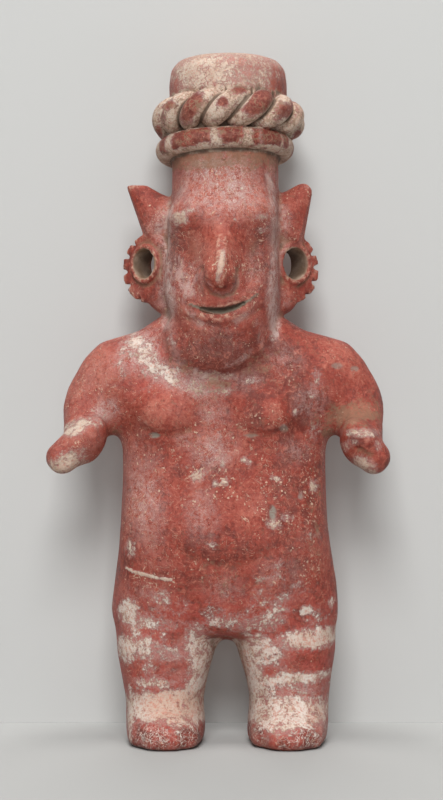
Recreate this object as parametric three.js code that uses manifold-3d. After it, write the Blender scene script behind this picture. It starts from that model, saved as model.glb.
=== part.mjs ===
import * as THREE from 'three'
import { mergeVertices } from 'three/addons/utils/BufferGeometryUtils.js'
import Module from 'manifold-3d'

const wasm = await Module()
wasm.setup()

// A standing female figure in red-slipped earthenware, fired in one piece.
// Sizes are millimetres: x to the viewer's right, -y to the front, z up, soles at z = 0.

const slip = { color: 0x9a4a3e, roughness: 0.55, metalness: 0 }

// How far one lump of clay is smoothed into the next.
const shoulderBlend = 16
const breastBlend = 8
const footBlend = 12
const limbBlend = 5
const palmBlend = 8
const thumbBlend = 3
const faceBlend = 12
const earBlend = 6
const columnEndBlend = 12

// Trunk and legs are upright rolls of clay: [height, middle, half width, front, back].
const trunkSections = [
  [77, 0.8, 77.5, -36, 42],
  [92, 1, 82, -42, 45],
  [107, 1.2, 81, -46, 46],
  [130, 1, 77.5, -51, 44],
  [158, 0.2, 74.2, -52, 40],
  [187, 0.2, 73.2, -45, 38],
  [216, 0.2, 73, -40, 37],
  [245, 0.2, 70, -36, 35],
  [270, 0.2, 60, -33, 33],
  [288, -1, 53, -30, 31],
  [298, -3, 47.5, -28, 30],
  [309, -1, 38, -27, 30],
]
const leftLegSections = [
  [-12, -41.5, 28.5, -32, 37],
  [7, -41.5, 29, -32, 38],
  [24, -42.5, 27.5, -31, 36],
  [42, -42.5, 30, -33, 36],
  [60, -42, 34.5, -36, 38],
  [86, -41, 37, -38, 40],
]
const rightLegSections = [
  [-12, 45.5, 29, -32, 37],
  [7, 45.5, 29.5, -32, 38],
  [24, 47, 28.5, -31, 36],
  [42, 46.5, 30, -33, 36],
  [60, 45.5, 34.5, -36, 38],
  [86, 43, 37.5, -38, 40],
]
const trunkSquareness = 2.5
const legSquareness = 2.3

// Rolls of clay are [from, to, radius at from, radius at to, depth over width], eggs are [centre, radii].
// The shoulders and upper arms are given for the viewer's right and mirrored to the left.
const shoulderRoll = [[34, 0, 267], [73, 0, 256.5], 35, 30, 0.88]
const upperArmRoll = [[73, 0, 256.5], [93.5, -4, 243], 30, 21, 0.96]
const breastEggs = [
  [[-39, -27, 235], [24, 17, 19]],
  [[26, -27, 233], [24, 17, 19]],
]
const footEggs = [
  [[-41, -28, 8], [27, 31, 18]],
  [[45.5, -28, 8], [27.5, 31, 18]],
]
const forearms = [
  {
    arm: [[-96.5, -8, 236], [-99, -34, 214], 19, 14],
    palm: [[-94, -40, 220], [-113, -46, 204.5], 12, 12],
    thumb: [[-90, -42, 224], [-101, -50, 215], 10, 9],
  },
  {
    arm: [[96, -8, 236], [98, -34, 213], 19, 14],
    palm: [[93, -40, 215], [105, -46, 204.5], 12, 12],
    thumb: [[91, -44, 223], [99, -52, 216], 10, 9],
  },
]

// The head is a tall column whose rounded foot hangs over the chest.
const headSections = [
  [262, -1, 22, -38, 18],
  [272, -1, 31.5, -43, 27],
  [286, -0.5, 37.5, -46, 33],
  [306, 0, 39.5, -46, 37],
  [330, 1, 38.5, -47, 39],
  [352, 1, 38.5, -48, 41],
  [372, 1, 38.5, -48, 42],
  [392, 1, 38.5, -45, 43],
  [412, 1, 38.5, -42, 43],
  [446, 1.5, 38.5, -40, 42],
]
const headSquareness = 2.25
const browRoll = [[-18, -33, 375], [19, -33, 375], 17, 17]
const cheekEgg = [[-1, -25, 335], [36, 30, 43]]
const muzzleEgg = [[-3, -31, 314], [30, 25, 20]]
const lipEgg = [[-2, -35, 298.5], [27, 17, 11]]
const noseRoll = [[-1, -42, 370], [-4, -59, 333], 9, 13]
// The pointed ears are cones with rounded tips: where the bare point would be, which way it aims
// seen from the front, half the angle of the cone, the radius of its tip, its length, its depth
// as a share of its width and the height it is worn down to.
const pointedEars = [
  { point: [-73.9, 0, 408.8], aim: 131, half: 21.9, tip: 5, length: 47, flat: 0.8, top: 399.2 },
  { point: [66.2, 0, 406.6], aim: 53.2, half: 26.5, tip: 7, length: 47, flat: 0.8, top: 402 },
]
const pointedEarSides = 10
const pointedEarTipSteps = 2
const pointedEarRoot = 16
const earRootRolls = [
  [[-41, -1, 372], [-44, -1, 316], 12, 10],
  [[41, -1, 372], [43, -1, 316], 12, 10],
]

// The mouth is a curved slot: its corners, then what pulls its lower and upper edges down.
const mouthLeft = [-24.6, 310.8]
const mouthRight = [22.9, 318.3]
const mouthLower = [-1.5, 293.6]
const mouthUpper = [-1.5, 303.4]
const mouthFloor = -49

// The headdress: a cap, a rolled band under it and a twisted band between them.
const capCentre = new THREE.Vector3(3, 1, 440.8)
const capProfile = [[0, 0], [42, 0], [42.6, 31], [41.2, 41], [36, 47.2], [28, 50], [0, 51.8]]
const capSides = 28
const ringCentre = new THREE.Vector3(0.7, -1, 424.6)
const ringRadius = 42
const ringTube = 7.8
const ringLean = THREE.MathUtils.degToRad(-6.4)
const ringRoll = THREE.MathUtils.degToRad(-1.5)
const ringSides = 10
const ringSteps = 32
const ropeCentre = new THREE.Vector3(3.4, -1, 445.4)
const ropeRadius = 41.5
const ropeLean = THREE.MathUtils.degToRad(-6.5)
const strandRadius = 9
const strandOffset = 4.9
const ropeTwists = 7
const ropePhase = THREE.MathUtils.degToRad(109)
const ropeSteps = 70
const ropeSides = 12

// Ear flaps with a toothed rim, and the tubes of the ear spools through them.
const flapRadius = 24.6
const flapThickness = 7
const notchDepth = 5.5
const notchAngles = [127, 155, 184, 211, 250]
const notchHalf = THREE.MathUtils.degToRad(5)
const notchFloorHalf = notchHalf * 0.5
const spoolRise = 3.5
const spoolFront = 7
const spoolBack = 13
const spoolSides = 22
const boreClear = 2
const ears = [
  { side: -1, flap: new THREE.Vector3(-53.3, -3, 339), turn: 43, spool: 14, bore: 10.6 },
  { side: 1, flap: new THREE.Vector3(47.6, -3, 339), turn: 38, spool: 15, bore: 11.4 },
]

// A lump that grows wider or narrower upwards, with rounded-square sections read off the list.
function column(sections, squareness) {
  const heights = sections.map((s) => s[0])
  const sizes = sections.flatMap((s) => s.slice(1))
  const between = new THREE.CubicInterpolant(heights, sizes, 4)
  const bottom = heights[0]
  const top = heights[heights.length - 1]
  return (x, y, z) => {
    const [middle, halfWidth, front, back] = between.evaluate(THREE.MathUtils.clamp(z, bottom, top))
    const halfDepth = (back - front) / 2
    const u = Math.abs(x - middle) / halfWidth
    const v = Math.abs(y - (front + back) / 2) / halfDepth
    const reach = Math.max(Math.pow(u ** squareness + v ** squareness, 1 / squareness), 1e-3)
    const slopeX = (u / reach) ** (squareness - 1) / halfWidth
    const slopeY = (v / reach) ** (squareness - 1) / halfDepth
    const side = (reach - 1) / Math.hypot(slopeX, slopeY)
    return Math.max(side, softMax(side, Math.max(bottom - z, z - top), columnEndBlend))
  }
}

// An egg-shaped lump.
function egg(centre, radii) {
  const [cx, cy, cz] = centre
  const [rx, ry, rz] = radii
  return (x, y, z) => {
    const dx = x - cx
    const dy = y - cy
    const dz = z - cz
    const reach = Math.max(Math.hypot(dx / rx, dy / ry, dz / rz), 1e-3)
    const slope = Math.hypot(dx / rx ** 2, dy / ry ** 2, dz / rz ** 2)
    return (reach * (reach - 1)) / Math.max(slope, 1e-6)
  }
}

// A rolled lump between two points. Flat is its depth over its width.
function roll(from, to, fromRadius, toRadius, flat = 1) {
  const start = new THREE.Vector3(...from)
  const along = new THREE.Vector3(...to).sub(start)
  const length = along.lengthSq()
  const point = new THREE.Vector3()
  return (x, y, z) => {
    point.set(x, y, z).sub(start)
    const t = THREE.MathUtils.clamp(point.dot(along) / length, 0, 1)
    point.addScaledVector(along, -t)
    const radius = fromRadius + (toRadius - fromRadius) * t
    return Math.hypot(point.x, point.y / flat, point.z) - radius
  }
}

function softMin(a, b, soft) {
  const near = Math.max(soft - Math.abs(a - b), 0) / soft
  return Math.min(a, b) - near * near * soft * 0.25
}

function softMax(a, b, soft) {
  return -softMin(-a, -b, soft)
}

function pressedTogether(soft, ...lumps) {
  return (x, y, z) => lumps.reduce((near, lump) => softMin(near, lump(x, y, z), soft), Infinity)
}

// Grid lines along one axis. Each stretch is [from, to, spacing] and starts where the last ends.
function lines(...stretches) {
  const places = [stretches[0][0]]
  for (const [from, to, spacing] of stretches) {
    const count = Math.max(Math.round((to - from) / spacing), 1)
    for (let n = 1; n <= count; n++) places.push(from + ((to - from) * n) / count)
  }
  return places
}

// Meshes a lump: one point in every grid cell that the surface crosses, and one quad round every
// grid edge that it crosses.
function skin(lump, grid) {
  const counts = grid.map((axis) => axis.length)
  const node = (i, j, k) => (k * counts[1] + j) * counts[0] + i
  const place = (i, j, k) => [grid[0][i], grid[1][j], grid[2][k]]
  const depths = new Float32Array(counts[0] * counts[1] * counts[2])
  forEachNode(counts, 0, (i, j, k) => {
    depths[node(i, j, k)] = lump(...place(i, j, k))
  })
  const corners = [...Array(8).keys()].map((n) => [n & 1, (n >> 1) & 1, (n >> 2) & 1])
  const apart = (m, n) => Math.hypot(...corners[m].map((v, axis) => v - corners[n][axis]))
  const pairs = corners.flatMap((_, m) => corners.map((__, n) => [m, n]))
  const edges = pairs.filter(([m, n]) => n > m && apart(m, n) === 1)
  const points = []
  const pointOf = new Int32Array(depths.length).fill(-1)
  forEachNode(counts, 1, (i, j, k) => {
    const nodes = corners.map(([a, b, c]) => [i - 1 + a, j - 1 + b, k - 1 + c])
    const depth = nodes.map((at) => depths[node(...at)])
    const spot = nodes.map((at) => new THREE.Vector3(...place(...at)))
    const crossed = edges.filter(([m, n]) => depth[m] < 0 !== depth[n] < 0)
    if (crossed.length === 0) return
    const middle = new THREE.Vector3()
    for (const [m, n] of crossed) {
      middle.add(spot[m].clone().lerp(spot[n], depth[m] / (depth[m] - depth[n])))
    }
    pointOf[node(i - 1, j - 1, k - 1)] = points.length
    points.push(settled(lump, middle.divideScalar(crossed.length)))
  })
  const triangles = []
  const steps = [[1, 0, 0], [0, 1, 0], [0, 0, 1]]
  forEachNode(counts, 1, (i, j, k) => {
    steps.forEach(([a, b, c], axis) => {
      if (i + a >= counts[0] || j + b >= counts[1] || k + c >= counts[2]) return
      const inside = depths[node(i, j, k)] < 0
      if (inside === depths[node(i + a, j + b, k + c)] < 0) return
      const p = steps[(axis + 1) % 3]
      const q = steps[(axis + 2) % 3]
      const around = [[0, 0], [1, 0], [1, 1], [0, 1]].map(([m, n]) =>
        pointOf[node(i - m * p[0] - n * q[0], j - m * p[1] - n * q[1], k - m * p[2] - n * q[2])])
      if (!inside) around.reverse()
      const [p0, p1, p2, p3] = around
      const short = points[p0].distanceTo(points[p2]) < points[p1].distanceTo(points[p3])
      triangles.push(...(short ? [p0, p1, p2, p0, p2, p3] : [p1, p2, p3, p1, p3, p0]))
    })
  })
  return indexed(points, triangles)
}

function forEachNode(counts, first, visit) {
  for (let k = first; k < counts[2]; k++) {
    for (let j = first; j < counts[1]; j++) {
      for (let i = first; i < counts[0]; i++) visit(i, j, k)
    }
  }
}

function indexed(points, triangles) {
  const geometry = new THREE.BufferGeometry()
  geometry.setAttribute('position', new THREE.Float32BufferAttribute(points.flatMap((p) => p.toArray()), 3))
  geometry.setIndex(triangles)
  return geometry
}

// Moves a point near the surface of a lump onto it.
function settled(lump, point) {
  const nudge = 0.5
  for (let round = 0; round < 2; round++) {
    const depth = lump(point.x, point.y, point.z)
    const slope = new THREE.Vector3(
      lump(point.x + nudge, point.y, point.z) - lump(point.x - nudge, point.y, point.z),
      lump(point.x, point.y + nudge, point.z) - lump(point.x, point.y - nudge, point.z),
      lump(point.x, point.y, point.z + nudge) - lump(point.x, point.y, point.z - nudge),
    ).divideScalar(2 * nudge)
    const move = THREE.MathUtils.clamp(depth / Math.max(slope.lengthSq(), 0.2), -2, 2)
    point.addScaledVector(slope, -move)
  }
  return point
}

function solid(geometry) {
  const plain = geometry.clone()
  plain.deleteAttribute('normal')
  plain.deleteAttribute('uv')
  const merged = mergeVertices(plain, 1e-3)
  const vertProperties = new Float32Array(merged.attributes.position.array)
  const triVerts = new Uint32Array(merged.index.array)
  return new wasm.Manifold(new wasm.Mesh({ numProp: 3, vertProperties, triVerts }))
}

function turned(geometry, centre, rotation) {
  return geometry.applyMatrix4(
    new THREE.Matrix4().makeRotationFromEuler(rotation).setPosition(centre))
}

function mirrored(rolled) {
  const [from, to, ...rest] = rolled
  return [[-from[0], ...from.slice(1)], [-to[0], ...to.slice(1)], ...rest]
}

// Trunk, arms and legs, all one run of clay.
function body() {
  const upper = [shoulderRoll, upperArmRoll, mirrored(shoulderRoll), mirrored(upperArmRoll)]
  const lumps = [column(trunkSections, trunkSquareness), ...upper.map((sizes) => roll(...sizes))]
  const trunk = pressedTogether(shoulderBlend, ...lumps)
  const chest = pressedTogether(breastBlend, trunk, ...breastEggs.map((sizes) => egg(...sizes)))
  const legs = [leftLegSections, rightLegSections].map((sections, n) =>
    pressedTogether(footBlend, column(sections, legSquareness), egg(...footEggs[n])))
  return pressedTogether(limbBlend, chest, ...legs, ...forearms.map(hand))
}

// A forearm that ends in a blunt mitten, with the thumb laid over it.
function hand({ arm, palm, thumb }) {
  const mitten = pressedTogether(palmBlend, roll(...arm), roll(...palm))
  return pressedTogether(thumbBlend, mitten, roll(...thumb))
}

// Head column with brow, cheeks, muzzle, lip, nose and the roots of the ears.
function head() {
  const face = pressedTogether(
    faceBlend,
    column(headSections, headSquareness),
    roll(...browRoll),
    egg(...cheekEgg),
    egg(...muzzleEgg),
    egg(...lipEgg),
    roll(...noseRoll),
  )
  return pressedTogether(earBlend, face, ...earRootRolls.map((sizes) => roll(...sizes)))
}

// The cut that opens the mouth, from in front of the face back to its floor.
function mouth() {
  const outline = new THREE.Shape()
  outline.moveTo(...mouthLeft)
  outline.quadraticCurveTo(...mouthLower, ...mouthRight)
  outline.quadraticCurveTo(...mouthUpper, ...mouthLeft)
  const cut = new THREE.ExtrudeGeometry(outline, { depth: 40, bevelEnabled: false, curveSegments: 8 })
  cut.rotateX(Math.PI / 2)
  return cut.translate(0, mouthFloor, 0)
}

function cap() {
  const outline = capProfile.map(([r, z]) => new THREE.Vector2(r, z))
  const drum = new THREE.LatheGeometry(outline, capSides)
  drum.rotateX(Math.PI / 2)
  return turned(drum, capCentre, new THREE.Euler(0, 0, 0))
}

function ring() {
  const hoop = new THREE.TorusGeometry(ringRadius, ringTube, ringSides, ringSteps)
  return turned(hoop, ringCentre, new THREE.Euler(ringLean, ringRoll, 0))
}

// Two strands wound round each other, as one closed ring whose section turns as it goes round.
function rope() {
  const points = []
  const triangles = []
  for (let step = 0; step < ropeSteps; step++) {
    const around = (step / ropeSteps) * 2 * Math.PI
    const outward = new THREE.Vector3(Math.cos(around), Math.sin(around), 0)
    for (let side = 0; side < ropeSides; side++) {
      const angle = (side / ropeSides) * 2 * Math.PI
      const aside = strandOffset * Math.sin(angle)
      const reach = strandOffset * Math.abs(Math.cos(angle)) + Math.sqrt(strandRadius ** 2 - aside ** 2)
      const wound = angle + around * ropeTwists + ropePhase
      const point = outward.clone().multiplyScalar(ropeRadius + reach * Math.cos(wound))
      point.z = reach * Math.sin(wound)
      points.push(point)
      const nextStep = ((step + 1) % ropeSteps) * ropeSides
      const nextSide = (side + 1) % ropeSides
      const here = step * ropeSides
      triangles.push(here + side, nextStep + side, here + nextSide)
      triangles.push(nextStep + side, nextStep + nextSide, here + nextSide)
    }
  }
  return turned(indexed(points, triangles), ropeCentre, new THREE.Euler(ropeLean, 0, 0))
}

// A cone with a rounded tip, worn flat on top where that is lower, and a root that narrows again.
function pointedEar({ point, aim, half, tip, length, flat, top }) {
  const slope = THREE.MathUtils.degToRad(half)
  const centre = tip / Math.sin(slope)
  const outline = [new THREE.Vector2(0, -length - pointedEarRoot)]
  outline.push(new THREE.Vector2(length * Math.tan(slope), -length))
  for (let step = 0; step <= pointedEarTipSteps; step++) {
    const angle = slope + (Math.PI / 2 - slope) * (step / pointedEarTipSteps)
    const radius = step < pointedEarTipSteps ? tip * Math.cos(angle) : 0
    outline.push(new THREE.Vector2(radius, tip * Math.sin(angle) - centre))
  }
  const cone = new THREE.LatheGeometry(outline, pointedEarSides)
  cone.rotateY(Math.PI / pointedEarSides)
  cone.scale(1, 1, flat)
  cone.rotateX(Math.PI / 2)
  cone.rotateY(THREE.MathUtils.degToRad(90 - aim))
  cone.translate(...point)
  const [x, y] = point
  const above = new THREE.BoxGeometry(length, length, length).translate(x, y, top + length / 2)
  return solid(cone).subtract(solid(above))
}

// The flat flap behind an ear spool, its rim notched into teeth on the outer side.
function flap(ear) {
  const outline = new THREE.Shape()
  const notches = notchAngles.map((angle) => THREE.MathUtils.degToRad(angle))
  const at = (angle, radius) => [radius * Math.cos(angle), radius * Math.sin(angle)]
  outline.moveTo(...at(0, flapRadius))
  let reached = 0
  for (const notch of notches) {
    outline.absarc(0, 0, flapRadius, reached, notch - notchHalf, false)
    outline.lineTo(...at(notch - notchFloorHalf, flapRadius - notchDepth))
    outline.lineTo(...at(notch + notchFloorHalf, flapRadius - notchDepth))
    outline.lineTo(...at(notch + notchHalf, flapRadius))
    reached = notch + notchHalf
  }
  outline.absarc(0, 0, flapRadius, reached, 2 * Math.PI, false)
  const sizes = { depth: flapThickness, bevelEnabled: false, curveSegments: 4 }
  const disc = new THREE.ExtrudeGeometry(outline, sizes)
  disc.translate(0, 0, -flapThickness / 2)
  return facing(disc, ear, 0)
}

// A plain round bar through an ear flap.
function bar(radius, front, back, ear) {
  const outline = [[0, -back], [radius, -back], [radius, front], [0, front]]
  const tube = new THREE.LatheGeometry(outline.map(([r, z]) => new THREE.Vector2(r, z)), spoolSides)
  tube.rotateX(Math.PI / 2)
  return facing(tube, ear, spoolRise)
}

// Stands a piece made in the x-y plane upright, mirrors it to the ear's side and turns it outward.
function facing(geometry, ear, rise) {
  geometry.rotateX(Math.PI / 2)
  const turn = new THREE.Euler(0, 0, ear.side * THREE.MathUtils.degToRad(ear.turn))
  if (ear.side > 0) geometry.rotateY(Math.PI)
  const centre = ear.flap.clone()
  centre.z += rise
  return turned(geometry, centre, turn)
}

// All the clay as one solid, standing on soles cut level.
function figure() {
  const bodyGrid = [
    lines([-136, -80, 7.4], [-80, 80, 14], [80, 136, 7.4]),
    lines([-76, -28, 8], [-28, 68, 13.7]),
    lines([-33, 58, 18.2], [58, 94, 9], [94, 187, 18.6], [187, 246, 7.4], [246, 324, 13]),
  ]
  const headGrid = [
    lines([-84, -35, 8.2], [-35, 35, 7], [35, 84, 8.2]),
    lines([-84, -28, 7], [-28, 66, 11.8]),
    lines([244, 286, 10.5], [286, 406, 7.1], [406, 462, 14]),
  ]
  let clay = solid(skin(body(), bodyGrid)).add(solid(skin(head(), headGrid)))
  for (const piece of [cap(), ring(), rope()]) clay = clay.add(solid(piece))
  for (const ear of pointedEars) clay = clay.add(pointedEar(ear))
  for (const ear of ears) {
    clay = clay.add(solid(flap(ear))).add(solid(bar(ear.spool, spoolFront, spoolBack, ear)))
    clay = clay.subtract(solid(bar(ear.bore, spoolFront + boreClear, spoolBack + boreClear, ear)))
  }
  clay = clay.subtract(solid(mouth()))
  const ground = new THREE.BoxGeometry(400, 400, 100).translate(0, 0, -50)
  return clay.subtract(solid(ground))
}

// Puts the origin under the middle of the figure's box.
function centred(geometry) {
  geometry.computeBoundingBox()
  const { min, max } = geometry.boundingBox
  return geometry.translate(-(min.x + max.x) / 2, -(min.y + max.y) / 2, -min.z)
}

function meshOf(clay, name) {
  const { vertProperties, triVerts, numProp } = clay.getMesh()
  const geometry = new THREE.BufferGeometry()
  const positions = new Float32Array((vertProperties.length / numProp) * 3)
  for (let n = 0; n < positions.length / 3; n++) {
    for (let axis = 0; axis < 3; axis++) positions[n * 3 + axis] = vertProperties[n * numProp + axis]
  }
  geometry.setAttribute('position', new THREE.BufferAttribute(positions, 3))
  geometry.setIndex(new THREE.BufferAttribute(new Uint32Array(triVerts), 1))
  const mesh = new THREE.Mesh(centred(geometry), new THREE.MeshStandardMaterial(slip))
  mesh.geometry.computeVertexNormals()
  mesh.name = name
  return mesh
}

const group = new THREE.Group()
group.add(meshOf(figure(), 'standing_female_figure'))

export default group
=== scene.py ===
import math
import bpy
import numpy as np
from mathutils import Matrix, Vector, noise


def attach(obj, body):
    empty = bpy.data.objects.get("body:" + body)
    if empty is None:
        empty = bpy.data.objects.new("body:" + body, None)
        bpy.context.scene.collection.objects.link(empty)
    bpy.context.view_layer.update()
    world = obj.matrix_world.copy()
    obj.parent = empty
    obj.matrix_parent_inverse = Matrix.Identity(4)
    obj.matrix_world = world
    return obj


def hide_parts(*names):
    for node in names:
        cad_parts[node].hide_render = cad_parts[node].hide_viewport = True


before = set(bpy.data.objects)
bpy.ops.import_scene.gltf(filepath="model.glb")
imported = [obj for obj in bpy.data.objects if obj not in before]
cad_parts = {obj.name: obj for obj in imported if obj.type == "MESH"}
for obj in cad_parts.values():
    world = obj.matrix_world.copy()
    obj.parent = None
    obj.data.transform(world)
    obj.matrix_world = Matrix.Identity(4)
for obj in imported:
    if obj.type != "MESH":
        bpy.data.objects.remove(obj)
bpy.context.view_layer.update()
print("fixed solid loaded")


def fade(values, start, end):
    t = np.clip((values - start) / (end - start), 0, 1)
    return t * t * (3 - 2 * t)


def selectOnly(piece):
    bpy.ops.object.select_all(action="DESELECT")
    piece.select_set(True)
    bpy.context.view_layer.objects.active = piece


def applyModifier(piece, kind, **settings):
    modifier = piece.modifiers.new(kind.lower(), kind)
    for key, value in settings.items():
        setattr(modifier, key, value)
    selectOnly(piece)
    bpy.ops.object.modifier_apply(modifier=modifier.name)


def places(piece):    # vertex places in millimetres, measured from the figure's own middle line
    co = np.empty(len(piece.data.vertices) * 3, np.float32)
    piece.data.vertices.foreach_get("co", co)
    return co.reshape(-1, 3).astype(float) * 1000 - np.array(clay["middle"])


def setPlaces(piece, p):
    co = (p + np.array(clay["middle"])) / 1000
    piece.data.vertices.foreach_set("co", co.astype(np.float32).ravel())
    piece.data.update()


def normals(piece):
    n = np.empty(len(piece.data.vertices) * 3, np.float32)
    piece.data.vertex_normals.foreach_get("vector", n)
    return n.reshape(-1, 3).astype(float)


def roughField(p, size, seed):    # smooth noise, about -1 to 1, with lumps of that size in millimetres
    q = p / size + seed
    return np.array([noise.noise(point) for point in q.tolist()])


def spots(p, listed, softEdge=0.55):
    total = np.zeros(len(p))
    for x, z, halfWidth, halfHeight, lean, strength in listed:
        c, s = math.cos(math.radians(lean)), math.sin(math.radians(lean))
        dx, dz = p[:, 0] - x, p[:, 2] - z
        reach = np.hypot((c * dx + s * dz) / halfWidth, (c * dz - s * dx) / halfHeight)
        total = np.maximum(total, strength * (1 - fade(reach, 1 - softEdge, 1 + softEdge)))
    return total


# 1 on a line of (x, height) points seen from the front, 0 beyond twice its half width.
def strokes(p, line, halfWidth):
    near = np.full(len(p), 1e9)
    q = p[:, [0, 2]]
    for a, b in zip(line, line[1:]):
        a, b = np.array(a, float), np.array(b, float)
        t = np.clip((q - a) @ (b - a) / ((b - a) @ (b - a)), 0, 1)
        near = np.minimum(near, np.hypot(*(q - a - t[:, None] * (b - a)).T))
    return 1 - fade(near, 0.5 * halfWidth, 2 * halfWidth)


# A leaning ring: distance from its line, angle round it, places in the ring's own frame, and its turn.
def hoop(p, centre, radius, lean, tilt=0.0):
    leaning = Matrix.Rotation(math.radians(lean), 3, "X")
    turn = np.array(leaning @ Matrix.Rotation(math.radians(tilt), 3, "Y"))
    q = (p - np.array(centre)) @ turn
    across = np.hypot(q[:, 0], q[:, 1])
    return np.hypot(across - radius, q[:, 2]), np.degrees(np.arctan2(q[:, 0], -q[:, 1])), q, turn


# Moves points towards that distance from the ring's line.
def ontoHoop(p, centre, radius, lean, tilt, reach, strength):
    far, _, q, turn = hoop(p, centre, radius, lean, tilt)
    across = np.maximum(np.hypot(q[:, 0], q[:, 1]), 1e-6)
    line = np.stack([q[:, 0] / across * radius, q[:, 1] / across * radius, np.zeros(len(q))], 1)
    goal = line + (q - line) * (reach / np.maximum(far, 1e-6))[:, None]
    short = reach - far
    step = np.clip(short, -clay["bandMove"], clay["bandMove"]) / np.where(np.abs(short) < 1e-6, 1, short)
    return p + ((goal - q) * (strength * step)[:, None]) @ turn.T


# Degrees across a strand of the twisted band, -90 to 90, degrees round the band's section, and which strand.
def strand(p):
    _, _, q, _ = hoop(p, *clay["rope"])
    roundHead = np.arctan2(q[:, 1], q[:, 0])
    wound = np.arctan2(q[:, 2], np.hypot(q[:, 0], q[:, 1]) - clay["rope"][1])
    turns = wound - clay["twists"] * roundHead - math.radians(clay["twistStart"])
    lobe = np.round(turns / math.pi)
    return np.degrees(turns - lobe * math.pi), np.degrees(wound), lobe


# The fired clay.
clay = {
    "middle": (3.995, 8.959, 0.0),    # where the figure's middle line stands in the frame, mm
    "voxel": 0.0012,    # m
    "passes": 110,    # smoothing passes where the softness below is 1
    "bodySoft": 1.0,
    "headSoft": 0.3,
    "capSoft": 0.22,
    "handSoft": 0.2,
    "ropeSoft": 0.05,
    "ringSoft": 0.05,
    "earSoft": 0.025,
    "mouthSoft": 0.05,    # share of the softness that is left at the mouth
    "unevenness": 0.3,    # hand-pressed waviness, mm
    "lumps": (26, 9),    # sizes of its large and small lumps
    "triangles": 192000,
    "ring": ((0.7, -1, 424.6), 42, -6.4, -1.5),    # rolled band: middle, radius, lean, tilt
    "ringTube": 7.8,
    "rope": ((3.4, -1, 445.4), 41.5, -6.5),    # twisted band: middle, radius, lean
    "twists": 7,
    "twistStart": 109,    # degrees
    "strand": (9.5, 4.4),    # radius, and distance from the band's own line
    "crease": 9.4,    # how far from the band's line the creases between strands stop
    "creaseCut": 0.7,
    "bandMove": 2.5,    # the most that a point on either band moves
    "flaps": ((-53.3, -3, 339), (47.6, -3, 339)),
    "boreLift": 3.5,    # how much higher than its flap each bore lies
    "throat": ((-4.5, -26.8, 288), (39, 18.6, 28)),    # middle and half sizes of the lump in the jaw
    "cheek": 4.0,    # how much farther the face reaches on its own right side
    "soleTop": (0.5, 4),    # relief fades in between these heights, so that the soles stay flat
}


# Where each part's share starts to change and where it has changed, mm.
spans = {
    "ring": (9.0, 10.5),    # distance from the band's line
    "rope": (14.5, 16.5),
    "cap": (440, 446),    # height
    "hornSide": (45, 56),
    "hornHeight": (352, 364),
    "flap": (26, 31),    # distance from the flap's middle
    "flapSide": (46, 54),
    "spool": (15.5, 19),    # distance from the bore's line
    "spoolFlap": (30, 34),
    "spoolSide": (34, 38),
    "head": (284, 302),
    "chinFront": (30, 36),
    "chin": (254, 262),
    "chinSide": (38, 46),
    "handSide": (82, 92),
    "handTop": (226, 240),
    "mouth": (1.6, 3.5),    # half openings
    "cheekSide": (16, 36),
    "cheekEnd": (40, 48),
    "cheekFront": (14, 26),
    "cheekLow": (302, 322),
    "cheekHigh": (368, 392),
    "legTop": (98, 125),
    "innerTop": (74, 90),    # cream between the legs
    "innerFoot": (10, 20),
    "grooveLow": (403, 412),    # painted shade and dirt below the rolled band
    "grooveHigh": (418, 422),
}


def past(values, name):    # 0 before the named span, 1 past it
    return fade(values, *spans[name])


def zones(p):
    x, y, z = np.abs(p[:, 0]), p[:, 1], p[:, 2]
    ringFar, ringAngle, _, _ = hoop(p, *clay["ring"])
    ropeFar, _, _, _ = hoop(p, *clay["rope"])
    ring = 1 - past(ringFar, "ring")
    rope = (1 - past(ropeFar, "rope")) * (1 - ring)
    cap = past(z, "cap") * (1 - rope) * (1 - ring)
    ear = past(x, "hornSide") * past(z, "hornHeight")
    for flap in clay["flaps"]:
        far = np.linalg.norm(p - np.array(flap), axis=1)
        ear = np.maximum(ear, (1 - past(far, "flap")) * past(x, "flapSide"))
        rim = np.hypot(p[:, 0] - flap[0], z - flap[2] - clay["boreLift"])
        spool = (1 - past(rim, "spool")) * (1 - past(far, "spoolFlap"))
        ear = np.maximum(ear, spool * past(x, "spoolSide"))
    chin = past(-y, "chinFront") * past(z, "chin")
    head = np.maximum(past(z, "head"), chin * (1 - past(x, "chinSide")))
    hand = past(x, "handSide") * (1 - past(z, "handTop"))
    atMouth = 1 - past(mouthReach(p), "mouth")
    return dict(ring=ring, rope=rope, cap=cap, ear=ear, head=head, hand=hand, mouth=atMouth,
                ringAngle=ringAngle)


# The mouth's slit: x, height and half opening of its points, mm.
mouth = {
    "x": (-24.5, -16.1, -7.7, -0.7, 8.4, 17.5, 23.8),
    "z": (311.9, 308.4, 307.0, 306.8, 309.2, 314.1, 319.4),
    "half": (0.5, 1.3, 2.1, 2.5, 2.0, 1.1, 0.5),
    "slope": 0.93,    # the slit runs at a slant, so heights count for less
    "front": (34, 38),    # how far forward the face starts
    "rims": ((3.0, 5.6, 0.9), (2.6, -4.4, 0.5), (2.2, 11.0, -0.8)),    # half width, drop, height
    "sunk": 1.0,    # how far the slit's edges are pressed in
    "floor": (-53.5, -51),    # y where the slit's floor starts, towards the back
    "lift": 2.8,    # brings that floor forward, because the mouth is shallow
}


def mouthReach(p):    # distance from the mouth's line in half openings, and far more behind the face
    x, z = p[:, 0], p[:, 2]
    beyond = np.maximum(mouth["x"][0] - x, 0) + np.maximum(x - mouth["x"][-1], 0)
    away = np.hypot(np.abs(z - np.interp(x, mouth["x"], mouth["z"])) * mouth["slope"], beyond)
    return np.where(p[:, 1] < -mouth["front"][0], away / np.interp(x, mouth["x"], mouth["half"]), 9)


def mouthLine(p, halfWidth, drop):
    line = [(x, z - drop) for x, z in zip(mouth["x"], mouth["z"])]
    return strokes(p, line, halfWidth) * fade(-p[:, 1], *mouth["front"])


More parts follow.
